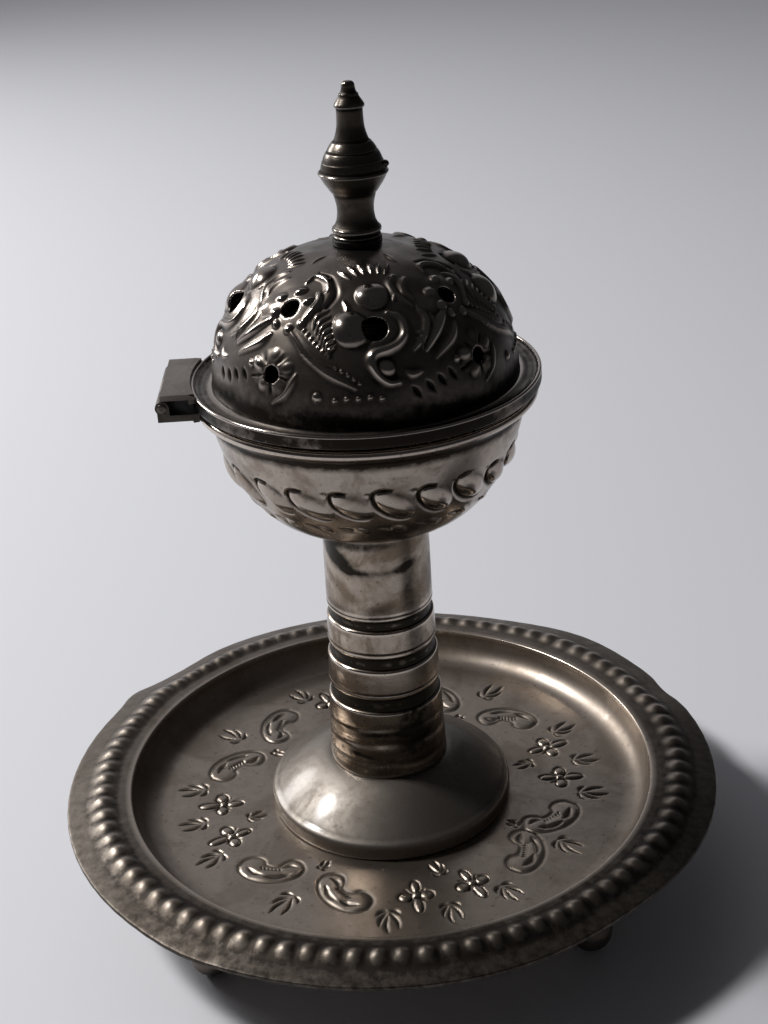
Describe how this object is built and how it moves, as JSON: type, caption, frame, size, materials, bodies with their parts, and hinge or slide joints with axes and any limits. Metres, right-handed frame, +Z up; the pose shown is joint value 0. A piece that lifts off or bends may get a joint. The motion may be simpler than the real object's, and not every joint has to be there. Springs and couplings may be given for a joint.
{
  "type": "table incense burner",
  "caption": "Footed table incense burner: pierced dome lid hinged to a round bowl, ringed stem on a flared foot, and a beaded drip tray on small ball feet.",
  "frame": {"origin": "on the table, at the centre of the bounding box's underside, on the axis of stem and bowl", "axes": "+Z up along the stem to the finial; the lid's hinge is on the -X side with its pin along Y, and -Y is the front"},
  "size_m": [0.1688, 0.1634, 0.2009],
  "materials": {
    "tray_plate": "worn nickel-silver plate on brass, satin, tarnished in the engraving",
    "cast_feet": "dull plated casting",
    "pedestal_plate": "satin plate on spun brass",
    "bright_plate": "polished plate with brown patina and dark spots",
    "rim_plate": "plate worn bright along the lip",
    "dome_plate": "dark tarnished plate, polished on the raised work",
    "finial_cast": "dull turned casting",
    "hinge_brass": "dull plated hinge metal",
    "fastener_steel": "plain steel fastener"
  },
  "bodies": {
    "stand": {"tray": "tray_plate", "tray_foot_1": "cast_feet", "tray_foot_2": "cast_feet", "tray_foot_3": "cast_feet", "tray_foot_4": "cast_feet", "pedestal_foot": "pedestal_plate", "stem": "bright_plate", "bowl": "bright_plate", "lid_seat_ring": "bright_plate", "tie_bolt": "fastener_steel", "bowl_washer": "fastener_steel", "tray_washer": "fastener_steel", "tray_nut": "fastener_steel", "bowl_hinge_leaf": "hinge_brass", "hinge_pin": "fastener_steel"},
    "lid": {"lid_hinge_leaf": "hinge_brass", "lid_rim": "rim_plate", "lid_dome": "dome_plate", "finial": "finial_cast", "finial_washer": "fastener_steel", "finial_screw": "fastener_steel"}
  },
  "joints": [
    {"name": "lid_hinge", "type": "hinge", "parent": "stand", "child": "lid", "pos_m": [-0.0464, 0, 0.1332], "axis": [0, -1, 0], "range_deg": [0, 120]}
  ]
}
